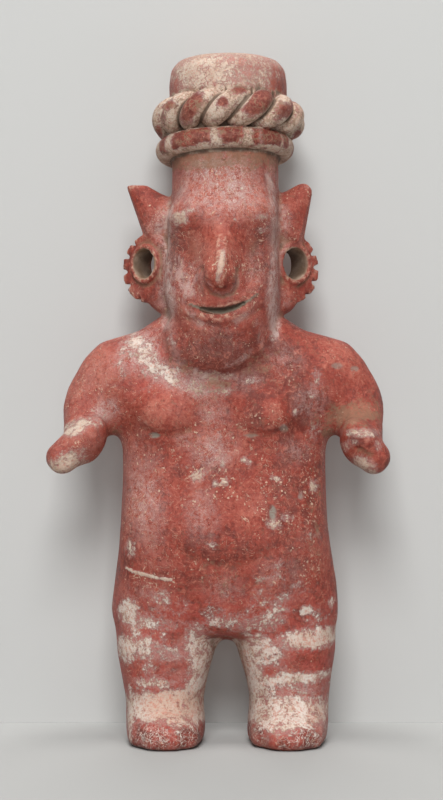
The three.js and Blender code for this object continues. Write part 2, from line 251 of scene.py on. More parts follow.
def smoothClay(piece):
    zone = zones(places(piece))
    soft = np.full(len(piece.data.vertices), clay["bodySoft"])
    for name in ("head", "hand", "cap", "rope", "ring", "ear"):
        soft += zone[name] * (clay[name + "Soft"] - soft)
    soft *= 1 - (1 - clay["mouthSoft"]) * zone["mouth"]
    group = piece.vertex_groups.new(name="soft")
    steps = 40
    levels = np.round(soft * steps).astype(int)
    for level in np.unique(levels):
        group.add(np.nonzero(levels == level)[0].tolist(), float(level) / steps, "REPLACE")
    applyModifier(piece, "SMOOTH", factor=0.5, iterations=clay["passes"], vertex_group="soft")
    piece.vertex_groups.clear()


# Low relief worked into the clay, mm. Lines are (x, height) points seen from the front.
relief = {
    "belly": (2, 132, 0.0092),    # the fold below it: x and height of its middle, and its bow
    "bellyWide": (26, 44),
    "breasts": (-40.6, 27.3),
    "breastHeight": 237,
    "breastSize": (21, 17, 3.2),    # half width, half height, fullness
    "underBreast": [(-16, 225.5), (-8, 221.5), (4, 220), (16, 223.5)],
    "sockets": [    # x, height, half width, half height, depth
        (-27, 349, 11, 20, 4.6),
        (24.5, 351, 10.5, 19, 4.4),
    ],
    "face": [    # line, half width, how far it stands out
        ([(-34, 367), (-21, 372), (-6, 374), (8, 374), (20, 372), (32, 366)], 5.5, 0.7),    # brow
        ([(-1, 372), (-1, 356), (-2, 344)], 5, 1.4),    # top of the nose
        ([(-1.5, 356), (-2, 340), (-2.5, 326)], 2.6, 1.8),    # its ridge
        ([(-16.8, 336), (-15.4, 325.3), (-9.1, 318.3), (-0.7, 315.5), (7, 318.3), (10.5, 325.3),
          (10.5, 336)], 1.3, -1.1),    # the fold round it
    ],
    "noseTip": (-2.8, 328, 12.5, 11.5, 0.6),    # x, height, half width, half height, fullness
    "fingerMarks": [    # line, half width, depth
        ([(93, 211), (99, 207.5), (104, 206)], 1.2, 0.8),    # under a thumb
        ([(-113, 203), (-104, 209)], 0.9, 0.5),
        ([(-117, 198), (-108, 203)], 0.9, 0.5),
    ],
    "crack": [(-69, 126), (-64, 124), (-55, 122), (-46, 120), (-37, 119)],
    "crackSize": (0.9, 0.35),    # half width, how far it stands out
    "chipDepth": 0.6,
}


def roundBands(p, zone, across):    # full strands with narrow creases between, and a round rolled band
    radius, offset = clay["strand"]
    full = np.radians(90 * (np.abs(across) / 90) ** 1.5)
    ropeReach = offset * np.cos(full) + np.sqrt(radius ** 2 - (offset * np.sin(full)) ** 2)
    ropeReach = np.maximum(ropeReach, clay["crease"])
    p = ontoHoop(p, *clay["rope"], 0, ropeReach, zone["rope"])
    return ontoHoop(p, *clay["ring"], np.full(len(p), clay["ringTube"]), zone["ring"])


def bodyRelief(push, p, front):    # the fold under the belly, and breasts with a crease below each
    x, z = p[:, 0], p[:, 2]
    middle, foldHeight, bow = relief["belly"]
    above = z - (foldHeight + bow * (x - middle) ** 2)
    wide = (1 - fade(np.abs(x), *relief["bellyWide"])) * front
    push += wide * (0.9 * np.exp(-((above - 9) / 8) ** 2) - 1.0 * np.exp(-((above + 3) / 4) ** 2))
    halfWidth, halfHeight, fullness = relief["breastSize"]
    for middle in relief["breasts"]:
        dx, dz = (x - middle) / halfWidth, (z - relief["breastHeight"]) / halfHeight
        push += fullness * np.exp(-(dx ** 2 + dz ** 2) ** 1.5) * front
        under = [(middle + step, height) for step, height in relief["underBreast"]]
        push -= 0.9 * front * strokes(p, under, 2.2)


def faceRelief(push, p, front):
    x, z = p[:, 0], p[:, 2]
    for middle, height, wide, tall, depth in relief["sockets"]:
        push -= depth * np.exp(-((x - middle) / wide) ** 2 - ((z - height) / tall) ** 2) * front
    for line, halfWidth, height in relief["face"]:
        push += height * strokes(p, line, halfWidth) * front
    middle, height, halfWidth, halfHeight, fullness = relief["noseTip"]
    bulb = np.hypot((x - middle) / halfWidth, (z - height) / halfHeight)
    push += fullness * (1 - fade(bulb, 0.55, 1.0)) * front
    push -= mouth["sunk"] * (1 - fade(mouthReach(p), 0.35, 1.15)) * fade(-p[:, 1], *mouth["front"])
    for halfWidth, drop, height in mouth["rims"]:
        push += height * mouthLine(p, halfWidth, drop) * front


def workClay(piece):    # the bands made round, then folds, lips and the unevenness that fingers leave
    p = places(piece)
    zone = zones(p)
    across, _, _ = strand(p)
    p = roundBands(p, zone, across)
    setPlaces(piece, p)

    n = normals(piece)
    x, _, z = p.T
    front = fade(-n[:, 1], 0.0, 0.4)
    plain = (1 - zone["ear"]) * (1 - zone["mouth"]) * (1 - 0.6 * zone["rope"])
    large, small = clay["lumps"]
    push = clay["unevenness"] * plain * (roughField(p, large, 3.1) + 0.5 * roughField(p, small, 8.4))
    push -= clay["creaseCut"] * zone["rope"] * fade(np.abs(across), 76, 89)
    bodyRelief(push, p, front)
    faceRelief(push, p, front)
    for line, halfWidth, depth in relief["fingerMarks"]:
        push -= depth * front * strokes(p, line, halfWidth)
    halfWidth, height = relief["crackSize"]
    push += height * strokes(p, relief["crack"], halfWidth) * front
    push -= relief["chipDepth"] * spots(p, greySpots, 0.25) * front
    push *= fade(z, *clay["soleTop"])
    p = p + push[:, None] * n

    p[:, 1] -= mouth["lift"] * (1 - fade(mouthReach(p), 0.8, 1.1)) * fade(p[:, 1], *mouth["floor"])
    cheek = past(-x, "cheekSide") * (1 - past(-x, "cheekEnd"))
    cheek = cheek * past(-p[:, 1], "cheekFront")
    p[:, 0] -= clay["cheek"] * cheek * past(z, "cheekLow") * (1 - past(z, "cheekHigh"))
    p[:, 2] = np.maximum(p[:, 2], 0)
    setPlaces(piece, p)


# Where paint, wear, dirt, painted shade and painted highlight lie, in mm: (x, height, half width, half
# height, lean, share that is covered).
creamSpots = [
    (-64, 287, 6, 6, 0, 1), (-56, 277, 10, 8, -40, 0.95), (-50, 267, 9, 7, -35, 0.85),
    (-37, 262, 12, 6, -25, 0.75), (-21, 255, 14, 6, -20, 0.7), (33, 292, 5, 6, 0, 0.4),
    (65, 262, 4, 6, 0, 0.6), (62, 250, 3, 4, 20, 0.55), (50, 236, 2, 2.5, 0, 0.8),
    (42, 226, 3, 2, 0, 0.6), (16, 202, 4, 2, -35, 1), (-29, 198, 5, 2, 5, 0.7), (-18, 191, 6, 4, 30, 0.7),
    (-2, 202, 3, 4, 0, 0.65), (-4, 218, 3, 3, 0, 0.65), (0, 188, 3, 2, 20, 0.75), (-7, 186, 2, 2, 0, 0.6),
    (35, 158, 5, 4, 0, 0.75), (45, 162, 6, 2, 8, 0.7), (54, 177, 2, 3, 0, 0.7), (36, 190, 4, 2, -20, 0.7),
    (64, 184, 4, 4, 0, 0.65), (63, 150, 7, 4, 0, 0.5), (-8, 143, 3, 3, 0, 0.7), (-66, 140, 4, 6, 0, 0.6),
    (33, 121, 9, 2, 15, 0.6), (23, 110, 3, 3, 0, 0.7), (51, 115, 6, 3, 25, 0.5), (38, 130, 3, 3, 0, 0.5),
    (-44, 106, 5, 6, -10, 0.35), (-31, 372, 6, 4.5, 22, 0.95), (-24, 377, 3, 2, 20, 0.85),
    (-26, 369, 4, 1.5, 15, 0.6), (25, 373, 5, 3, 5, 0.6), (28, 364, 5, 2, 5, 0.6),
    (4, 393, 1.6, 1.2, 0, 1), (12, 393, 1.6, 1.2, 0, 0.8), (8, 370, 1.6, 1.2, 0, 0.9),
    (-103, 226, 12, 5, 25, 0.95), (-89, 233, 6, 7, 0, 0.6), (-108, 200, 13, 8, 35, 0.97),
    (-120, 198, 5, 5, 0, 1), (95, 222, 13, 3, 0, 0.8), (86, 213, 4, 7, -60, 0.6),
    (98, 198, 9, 6, -35, 0.97), (107, 213, 3, 4, 0, 0.6), (-75, 397, 4, 3, 0, 0.6),
    (62, 399, 6, 3, 0, 0.5), (-6, 261, 15, 4, 0, 0.6), (-2, 252, 9, 5, 0, 0.5), (20, 259, 9, 3, 15, 0.45),
    (64, 222, 6, 8, 0, 0.4), (-2.3, 337, 1.9, 10, -11, 1.3),
]
legPaint = [
    (-67.5, 94.3, 7.5, 9, 0, 0.9), (-55.6, 89.4, 7, 6, 0, 0.66), (-43.4, 104, 8, 8, 0, 0.45),
    (-29.4, 99, 7, 7, 0, 0.36), (-40.6, 87.3, 18, 5, 0, 0.48), (-1.4, 89.4, 13, 5, 0, 0.58),
    (-19.6, 83, 8, 6, 0, 0.5), (-67.9, 69, 8.5, 9, 0, 0.88), (-56, 70.5, 6.5, 9, 0, 0.74),
    (-39, 66.3, 12, 6, 0, 0.55), (-19.6, 70.5, 9.5, 13, 0, 0.66), (-49.7, 45.3, 15, 4.5, 0, 0.72),
    (-26, 42.5, 10, 3, 0, 0.4), (-40, 28, 34, 12, 0, 0.9), (-21.7, 26.4, 9, 8, 0, 0.95),
    (-66.5, 22, 3, 18, 0, 0.8), (33.6, 91.5, 14, 8, 30, 0.68), (58.1, 96.4, 5, 3.5, 0, 0.95),
    (16.8, 87.3, 11, 5, 20, 0.68), (76.3, 100.6, 2.5, 5, 0, 0.6), (40.6, 104.8, 12, 3.5, 15, 0.45),
    (67.9, 89.4, 8, 4, 0, 0.32), (63, 76.5, 24, 7.5, 4, 0.93), (25.9, 68.4, 15, 11, -30, 0.76),
    (46, 48.1, 38, 4, 3, 0.93), (19.6, 54.4, 8, 6, 0, 0.58), (46, 39.9, 28, 5, 0, 0.4),
    (18.9, 39, 6, 8, 0, 0.7), (44, 24, 38, 13, 0, 0.84),
]
ropeSpots = [    # red left on the twisted band, seen from the front
    (-39.2, 452.7, 4, 3, 20, 0.6), (-44.1, 445.7, 3, 3, 0, 0.5), (-47.6, 434.9, 3, 4.5, 0, 0.9),
    (-23.1, 449.9, 10, 5.5, 58, 0.97), (-0.7, 452.4, 3.5, 3, 0, 0.95), (10.5, 461.4, 6, 3, 20, 0.7),
    (25.2, 453.1, 12, 7, 40, 0.95), (44.8, 449.2, 9, 6, 30, 0.55), (53.9, 433.8, 3.5, 4, 0, 0.85),
]
brushLines = [    # whitish lines left by the brush: (x, height) points, half width, strength
    ([(-37.7, 384.4), (-40.4, 369.7), (-41, 353), (-40, 331), (-38.2, 320), (-36.4, 310.8),
      (-41.3, 297.9)], 2.4, 0.9), ([(-25.7, 406.5), (-28.4, 393.6), (-34.9, 384.4)], 2.2, 0.45),
    ([(31.4, 404.7), (33.6, 393.6), (36, 378.9), (36.5, 364), (35.6, 349.4), (34.3, 331),
      (33.4, 320)], 1.9, 0.8), ([(33.4, 320), (34.6, 305), (38, 292.3)], 3, 0.9),
    ([(-32, 344), (-30.8, 331), (-23.8, 320)], 2.6, 0.6),
    ([(-39.7, 296.6), (-36.2, 282.8), (-30.3, 272.5)], 2.8, 0.35), ([(-22, 266), (-12, 261.5)], 2, 0.6),
    ([(-2, 268), (10, 271), (19, 279)], 1.2, 0.5), ([(24, 300), (26.8, 283)], 2.4, 0.3),
    ([(-25, 308.6), (-19, 299.5), (-8.4, 295)], 1.8, 0.6), ([(7.5, 298.8), (18.5, 306)], 1.8, 0.5),
    ([(-10.9, 325.5), (-5.4, 318.5), (3.8, 318), (9.3, 325.5), (8.9, 332.9)], 1.1, 0.5),
    ([(-44, 380), (-46, 364), (-45, 350)], 2.6, 0.6), ([(40, 386), (42, 368), (41, 352)], 2.4, 0.6),
]
speckSpots = [    # where cream chips lie closest
    (0, 338, 16, 10, 0, 0.8), (24, 340, 8, 16, 0, 0.5), (-2, 186, 14, 14, 0, 0.7),
    (-8, 176, 30, 5, 8, 0.7), (36, 186, 12, 10, -30, 0.9), (60, 180, 8, 40, 0, 0.6),
    (40, 160, 14, 10, 0, 0.6), (-40, 210, 20, 5, 20, 0.5), (-18, 196, 12, 8, 20, 0.6),
    (-88, 252, 20, 6, 0, 0.5), (30, 232, 16, 5, 0, 0.6), (48, 262, 12, 12, 0, 0.5),
    (24, 208, 4, 14, 30, 0.7), (60, 125, 12, 14, 0, 0.6), (-66, 165, 5, 30, 0, 0.4),
]
# whitish haze; on the forehead it also stands for painted sheen
hazeAndSheenSpots = [
    (-40, 322, 6, 26, 0, 1), (36, 332, 4, 42, 0, 1), (-30, 328, 9, 12, 10, 0.8),
    (0, 390, 28, 16, 0, 0.75), (-58, 280, 13, 15, -40, 1), (-40, 264, 17, 9, -25, 0.85),
    (-20, 256, 15, 8, -20, 0.7), (-1, 406, 22, 11, 0, 0.9), (-38, 346, 5, 36, 0, 0.75),
    (35, 360, 5, 50, 0, 0.75), (-22, 329, 7, 11, 0, 0.6), (24, 338, 8, 13, -10, 0.65),
    (-56, 175, 13, 30, 5, 0.6), (-16, 165, 10, 17, 0, 0.45), (-8, 209, 13, 13, -20, 0.7),
    (51, 209, 11, 8, 0, 0.55), (-4, 282, 17, 11, 0, 0.55), (-83, 238, 8, 7, 0, 0.7),
    (61, 244, 10, 12, -30, 0.6), (15, 260, 12, 9, 20, 0.45), (-70, 274, 8, 9, 0, 0.4),
    (-7, 235, 9, 10, 0, 0.55), (41, 273, 13, 10, -15, 0.45), (-27, 216, 7, 6, 0, 0.35),
    (-58, 109, 14, 6, 0, 0.4), (0, 114, 12, 9, 0, 0.35), (41, 119, 13, 14, 0, 0.45),
    (33, 66, 10, 11, 0, 0.5), (-34, 68, 18, 9, 0, 0.4), (48, 39, 24, 6, 0, 0.5),
    (-28, 52, 16, 10, 0, 0.3), (-49, 368, 9, 6, 0, 0.5), (45, 373, 3, 8, 0, 0.55),
    (-45, 354, 6, 4, 0, 0.5), (43, 357, 4, 4, 0, 0.4), (-46, 315, 5, 6, 0, 0.4), (43, 316, 5, 6, 0, 0.4),
]
shadeAndDarkRedSpots = [    # painted shade in sockets, under chin and belly fold, and darker slip: dark red above 0, bright red below 0
    (-35, 349, 9, 24, 0, 1.5), (28, 351, 8, 20, 0, 1.2), (15, 348, 9, 20, 0, 0.5),
    (-3, 274, 34, 17, 0, 1.6), (-32, 286, 9, 14, 0, 0.9), (1, 297, 18, 4, 0, 0.9),
    (-12, 392, 20, 4, 0, 0.5), (22, 240, 7, 14, 0, 0.9), (38, 252, 20, 10, 0, 0.4),
    (-8, 139, 36, 9, 0, 0.8), (-38, 119, 32, 11, 0, 0.6), (50, 185, 20, 58, 0, 0.8),
    (-54, 200, 12, 16, 0, 0.4), (-55, 79, 20, 4, 0, 0.5), (46, 86, 22, 3, 0, 0.6),
    (45, 60, 22, 4, 0, 0.6), (-45, 56, 20, 3, 0, 0.5), (40, 110, 24, 6, 0, 0.4), (-40, 9, 26, 9, 0, 0.6),
    (45, 9, 26, 8, 0, 0.6), (-78, 300, 8, 12, -30, 0.5), (-57, 247, 12, 5, 20, 0.3),
]
# painted highlights where light falls: forehead, nose, shoulders, chest, belly top and horns
paintedHighlightSpots = [
    (-2, 390, 30, 16, 0, 1.2), (0, 360, 20, 16, 0, 0.5), (-88, 264, 18, 20, 20, 0.8),
    (-44, 242, 18, 12, 0, 0.9), (86, 268, 20, 18, -20, 0.7), (2, 172, 26, 14, 0, 0.6),
    (36, 240, 12, 8, 0, 0.6), (-8, 345, 5, 14, 0, 0.9), (-6, 365, 14, 8, 0, 0.5),
    (-3, 352, 11, 22, 0, 1.0), (-70, 388, 6, 10, 0, 0.5), (62, 388, 6, 10, 0, 0.5),
]
# brown stains, and painted shade under the jaw, at the lower belly and along the gap between the legs
stainAndShadeSpots = [
    (-7, 255, 12, 8, 0, 0.55), (91, 234, 21, 8, 8, 0.9), (-27, 268, 10, 4, -30, 0.5),
    (26, 271, 10, 7, 30, 0.5), (74, 222, 5, 5, 0, 0.8), (-77, 223, 4, 5, 0, 0.5),
    (-2, 120, 14, 15, 0, 0.2), (66, 164, 6, 31, 0, 0.25), (97, 209, 7, 2, -20, 0.8),
    (-8, 73, 2, 10, 0, 0.6), (11, 58, 2, 23, 0, 0.5),
]
peachSpots = [
    (-36, 29, 21, 12, 0, 0.9), (-30, 6, 5, 2, 0, 1), (-1, 334, 4, 8, -12, 1), (-15, 79, 4, 4, 0, 0.7),
    (13, 47, 4, 32, 0, 0.6), (65, 23, 7, 8, 0, 0.6), (-106, 200, 11, 6, 0, 0.5), (98, 199, 8, 6, 0, 0.5),
    (59, 75, 19, 6, 8, 0.45),
]
greySpots = [
    (34, 166, 2.4, 5, 0, 1), (-49, 220, 4, 2, 0, 0.9), (80, 269, 4, 2.2, 0, 0.6), (93, 267, 3, 2, 0, 0.6),
    (42, 225, 3, 2.4, 0, 0.6), (19, 220, 5, 1.2, 0, 0.6), (54, 177, 2, 2, 0, 0.5),
]
toeSpots = [
    (-50, 9, 15, 10, 0, 1), (-25, 9, 10, 8, 0, 0.9), (24, 10, 5, 7, 0, 0.9), (42, 6, 5, 5, 0, 0.9),
    (59, 9, 12, 7, 0, 1), (-62, 4, 4, 6, 0, 0.6),
]
legBands = [    # side, lowest and highest, share covered at the sides and back
    (-1, 88, 102, 0.7), (-1, 62, 77, 0.62), (-1, 41, 48, 0.62), (-1, 14, 36, 0.85), (1, 88, 98, 0.55),
    (1, 68, 82, 0.8), (1, 44.5, 52, 0.8), (1, 12, 33, 0.85),
]
backSpots = [
    (-40, 262, 16, 9, 20, 0.6), (30, 240, 9, 5, -20, 0.5), (10, 198, 6, 4, 30, 0.6),
    (-46, 168, 6, 8, 0, 0.5), (28, 138, 12, 4, -12, 0.6), (-12, 108, 9, 5, 10, 0.6),
    (48, 112, 8, 5, 0, 0.6), (4, 300, 12, 6, 0, 0.5), (-8, 386, 12, 8, 15, 0.4),
]
ringBlots = [    # red left on the rolled band: angle round it and half its length, degrees
    (-32, 18), (5, 9), (27, 4), (43, 10), (60, 4), (-66, 6), (100, 15), (142, 12), (-178, 16), (-138, 12),
    (-104, 9),
]
capRedSpots = [
    (-38, 462, 9, 20, 0, 0.6), (40, 466, 10, 20, 0, 0.6), (22, 479, 16, 6, 0, 0.35),
    (2, 461, 28, 5, 0, 0.3),
]
capCreamSpots = [(-14, 477, 18, 9, 0, 1)]
chalkSpots = [(-54, 272, 22, 22, 0, 1)]    # the shoulder, whose cream is as chalky as the legs'


def around(angle, blots, softEdge=3.5):
    total = np.zeros(len(angle))
    for centre, half in blots:
        off = np.abs((angle - centre + 180) % 360 - 180)
        total = np.maximum(total, 1 - fade(off, half - softEdge, half + softEdge))
    return total


def hollows(piece):    # above 0 in creases, below 0 on ridges
    mesh = piece.data
    p, n = places(piece), normals(piece)
    ends = np.empty(len(mesh.edges) * 2, np.int32)
    mesh.edges.foreach_get("vertices", ends)
    a, b = ends.reshape(-1, 2).T
    count = np.bincount(a, minlength=len(p)) + np.bincount(b, minlength=len(p))

    def average(values):
        return (np.bincount(a, values[b], len(p)) + np.bincount(b, values[a], len(p))) / np.maximum(count, 1)

    mean = np.stack([average(p[:, axis]) for axis in range(3)], 1)
    depth = ((mean - p) * n).sum(1)
    for _ in range(6):
        depth = 0.5 * depth + 0.5 * average(depth)
    return depth


# Shares of cream on the body, and where the toes lie.
def bodyCream(p, front, wobble):
    x, _, z = p.T
    cream = np.maximum(0.8 * spots(p, creamSpots, 0.8), spots(p, legPaint, 0.6)) * front
    cream = np.maximum(cream, spots(p * (-1, 1, 1), backSpots, 0.7) * (1 - front))
    for side, low, high, share in legBands:
        inside = fade(z + wobble, low - 3, low + 3) * (1 - fade(z + wobble, high - 3, high + 3))
        cream = np.maximum(cream, share * (1 - front) * inside * (x * side > 0))
    toes = spots(p, toeSpots) * front + (1 - front) * (1 - fade(z + wobble, 5, 9)) * 0.8
    toes = toes * (z < 24)
    cream = np.maximum(cream * (1 - 0.6 * toes), 0.18 * toes)
    return cream, toes


def innerLegs(p, n, wobble):    # the sides of the legs that face each other
    x, _, z = p.T
    facing = fade(-n[:, 0] * np.sign(x), 0.25, 0.7)
    return facing * (1 - past(z + 2 * wobble, "innerTop")) * past(z, "innerFoot")


def ropePaint(p, front):    # red left on the twisted band, and degrees across its strands
    across, along, lobe = strand(p)
    red = np.clip(1.5 * spots(p, ropeSpots, 0.65), 0, 1) * front
    patch = np.hypot(across / 52, (along - 8 * np.sin(lobe * 2.3)) / 62)
    behind = (np.mod(lobe * 5, 7) < 4) * (1 - fade(patch, 0.75, 1.1))
    red = np.maximum(red, 0.9 * behind * (1 - front)) * (1 - fade(np.abs(across), 58, 76))
    return red, np.abs(across)


def ringPaint(p, ringAngle, wobble):    # red left on the rolled band, and degrees round its section
    _, _, q, _ = hoop(p, *clay["ring"])
    section = np.degrees(np.arctan2(q[:, 2], np.hypot(q[:, 0], q[:, 1]) - clay["ring"][1]))
    red = around(ringAngle + 1.8 * wobble, ringBlots) * fade(section + 6 * wobble, -56, -36)
    return red * (1 - fade(section + 6 * wobble, 44, 62)), section


def insideBores(p, n):
    inside = np.zeros(len(p))
    for flap in clay["flaps"]:
        away = p - np.array(flap) - (0, 0, clay["boreLift"])
        far = np.hypot(away[:, 0], away[:, 2])
        facingIn = -(away[:, 0] * n[:, 0] + away[:, 2] * n[:, 2]) / np.maximum(far, 1e-6)
        wall = (1 - fade(far, 12, 14)) * fade(facingIn, 0.1, 0.5)
        inside = np.maximum(inside, wall * fade(np.abs(p[:, 0]), 43, 46))
    return inside


def paintClay(piece):    # each field becomes an attribute that the slip reads
    p, n = places(piece), normals(piece)
    zone = zones(p)
    x, y, z = p.T
    front = fade(-n[:, 1], -0.15, 0.2)
    bare = (1 - zone["ring"]) * (1 - zone["rope"]) * (1 - zone["cap"])    # all but the headdress
    wobble = 2.6 * roughField(p, 13, 5.5) + 1.2 * roughField(p, 5, 2.2)

    cream, toes = bodyCream(p, front, wobble)
    cream = np.maximum(cream * bare, 0.8 * innerLegs(p, n, wobble))
    cream = np.maximum(cream, 0.97 * strokes(p, relief["crack"], relief["crackSize"][0]) * front)
    ropeRed, across = ropePaint(p, front)
    ringRed, section = ringPaint(p, zone["ringAngle"], wobble)
    capRed = spots(p, capRedSpots, 0.9) * front
    rope = zone["rope"] * (0.84 - 0.84 * ropeRed)
    ring = zone["ring"] * (0.8 - 0.78 * ringRed)
    cap = zone["cap"] * (0.74 + 0.2 * spots(p, capCreamSpots, 0.8) * front - capRed)

    # painted shade below the rolled band, in the creases between strands and under the band's tube, added to
    # the stains
    groove = past(z, "grooveLow") * (1 - past(z, "grooveHigh")) * bare
    grimeAndShade = np.maximum(spots(p, stainAndShadeSpots, 0.8) * front * bare, 0.8 * groove)
    grimeAndShade = np.maximum(grimeAndShade, zone["rope"] * 0.9 * fade(across, 78, 86))
    grimeAndShade = np.maximum(grimeAndShade, 0.12 * zone["ring"] * fade(-section, 50, 80))
    legs = (1 - past(z, "legTop")) * bare
    bores = insideBores(p, n)
    slit = (1 - fade(mouthReach(p), 0.55, 1.05)) * front
    brushed = np.max([share * strokes(p, line, half) for line, half, share in brushLines], axis=0)
    # painted shade as dark red, painted highlight as bright red, with the darker red of the bands, legs and
    # toes
    shadingAndDarkRed = (spots(p, shadeAndDarkRedSpots, 0.8) - spots(p, paintedHighlightSpots, 0.8)) * front * bare
    shadingAndDarkRed = shadingAndDarkRed + 0.9 * zone["rope"] * ropeRed + 0.9 * zone["ring"] * ringRed + 0.1 * legs + 0.6 * toes
    fields = {
        "cream": cream + ring + rope + cap,
        "brushed": brushed * front * bare,
        "specked": spots(p, speckSpots, 0.8) * front,
        "haze": spots(p, hazeAndSheenSpots, 0.8) * front * bare + (1 - front) * bare * 0.3,
        "grimeAndShade": grimeAndShade,
        "peach": spots(p, peachSpots, 0.5) * front,
        "grey": spots(p, greySpots, 0.25) * front,
        "bore": bores,
        # painted shade deep in the bores
        "boreShade": bores * fade(y, -5, 8),
        "pink": zone["cap"] * (1 - np.clip(1.5 * capRed, 0, 1)),
        "chalk": np.maximum(legs, spots(p, chalkSpots, 0.5) * front),
        "mouth": slit,
        # painted shadow of the upper lip in the top of the slit
        "lipShadow": slit * fade(z - np.interp(x, mouth["x"], mouth["z"]), -0.2, 0.9),
        # creases, deepened between the strands; painted as shade later
        "hollow": hollows(piece) + 0.12 * zone["rope"] * fade(across, 80, 88),
        "shadingAndDarkRed": shadingAndDarkRed,
        "toes": toes,
        "bands": np.maximum(zone["ring"], zone["rope"]),
    }
    for name, values in fields.items():
        attribute = piece.data.attributes.new(name, "FLOAT", "POINT")
        attribute.data.foreach_set("value", values.astype(np.float32))


def fillThroat(piece):
    middle, half = (Vector(values) / 1000 for values in clay["throat"])
    bpy.ops.object.select_all(action="DESELECT")
    bpy.ops.mesh.primitive_uv_sphere_add(segments=64, ring_count=40, radius=1)
    lump = bpy.context.object
    bpy.ops.object.mode_set(mode="EDIT")
    bpy.ops.mesh.select_all(action="SELECT")
    bpy.ops.transform.resize(value=half, center_override=(0, 0, 0))
    bpy.ops.transform.translate(value=middle + Vector(clay["middle"]) / 1000)
    bpy.ops.object.mode_set(mode="OBJECT")
    piece.select_set(True)
    bpy.context.view_layer.objects.active = piece
    bpy.ops.object.join()


def buildFigure():
    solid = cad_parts["standing_female_figure"]
    piece = solid.copy()
    piece.data = solid.data.copy()
    piece.name = piece.data.name = "fired_figure"
    piece.parent = None
    for key in list(piece.keys()):
        del piece[key]
    bpy.context.scene.collection.objects.link(piece)
    selectOnly(piece)
    bpy.ops.object.mode_set(mode="EDIT")
    bpy.ops.mesh.select_all(action="SELECT")
    bpy.ops.mesh.remove_doubles(threshold=1e-6)
    bpy.ops.object.mode_set(mode="OBJECT")
    piece.data.materials.clear()
    fillThroat(piece)
    applyModifier(piece, "REMESH", mode="VOXEL", voxel_size=clay["voxel"])
    print("clay remeshed", len(piece.data.vertices))
    smoothClay(piece)
    workClay(piece)
    triangles = sum(len(face.vertices) - 2 for face in piece.data.polygons)
    applyModifier(piece, "DECIMATE", ratio=clay["triangles"] / triangles)
    print("clay worked", len(piece.data.polygons))
    selectOnly(piece)
    bpy.ops.object.shade_smooth()
    paintClay(piece)
    print("paint placed")
    return piece


# The slip, and the paint, wear and dirt on it.
slip = {
    "darkRed": (0.135, 0.022, 0.015),
    "red": (0.262, 0.038, 0.023),
    "brightRed": (0.385, 0.100, 0.068),
    "rubbed": (0.490, 0.165, 0.110),
    "freshRed": (0.365, 0.062, 0.046),
    "cream": (0.600, 0.500, 0.395),
    "warmCream": (0.510, 0.375, 0.285),
    "chalk": (0.660, 0.595, 0.525),
    "peach": (0.500, 0.350, 0.262),
    "pink": (0.440, 0.215, 0.165),
    "haze": (0.420, 0.272, 0.250),
    "wisp": (0.610, 0.480, 0.435),
    "grimeAndShade": (0.235, 0.148, 0.092),
    # painted shade for creases, bore walls and the top of the slit
    "paintedShade": (0.075, 0.050, 0.036),
    "grey": (0.235, 0.200, 0.165),
    "mouthShade": (0.210, 0.175, 0.130),
    "speck": (0.580, 0.400, 0.290),
    "burnish": 0.44,    # roughness of the polished slip
    "matt": 0.85,    # roughness of paint and bare clay
    "specular": 0.28,
    "bump": 0.8,
    "bumpReach": 0.0012,    # m
    "noises": {    # scale, detail, roughness, twist
        "broad": (16, 4), "middling": (70, 6), "fine": (260, 8, 0.68), "grain": (900, 4, 0.6),
        "patch": (110, 4, 0.6), "speckle": (520, 5, 0.7), "grit": (400, 9, 0.78),
        "swirl": (150, 10, 0.76, 2.2), "veil": (85, 8, 0.66, 1.8), "eaten": (300, 10, 0.8),
        "dust": (38, 4, 0.6), "creamPits": (340, 9, 0.8), "brushed": (120, 9, 0.74, 1.5),
        "specks": (520, 3, 0.55), "speckGroups": (32, 5, 0.7), "bigSpecks": (340, 2),
        "closeSpecks": (430, 3), "darkSpecks": (560, 3, 0.55), "dirtAndShade": (150, 8, 0.7),
        "darkPits": (360, 9, 0.8), "flecks": (380, 9, 0.78),
    },
    "threads": {    # thin lines: scale, width, twist
        "wisps": (130, 0.016, 2.4), "fineWisps": (260, 0.020, 2.0), "lines": (95, 0.006, 1.2),
        "hazeLines": (150, 0.007, 2.0), "chips": (120, 0.016, 1.6), "fineChips": (210, 0.016, 1.2),
        "veins": (150, 0.012, 1.8),
    },
    "crackle": (235.0, 180.0, 0.006),    # scale, scale of its bends, how far they reach in m
    "layers": {    # how much of what lies below each layer hides
        "freshRed": 0.75, "streaks": 0.25, "darkGrit": 0.3, "lightGrit": 0.2, "darkSwirl": 0.7,
        "lightSwirl": 0.5, "pink": 0.8, "creamStain": 0.5, "creamGrit": 0.55, "stain": 0.38,
        "cream": 0.94, "creamPits": 0.65, "wisps": 0.75, "brushed": 0.6, "lines": 0.7, "chips": 0.9,
        "specks": 0.85, "darkSpecks": 0.55, "cracks": 0.8, "veins": 0.6, "darkPits": 0.85,
        "flecks": 0.8, "paleFlecks": 0.8, "dirtAndShade": 0.62, "paintedShade": 0.7, "worn": 0.55, "boreShade": 0.85,
    },
}


def newNode(tree, kind, **settings):
    made = tree.nodes.new("ShaderNode" + kind)
    for key, value in settings.items():
        setattr(made, key, value)
    return made


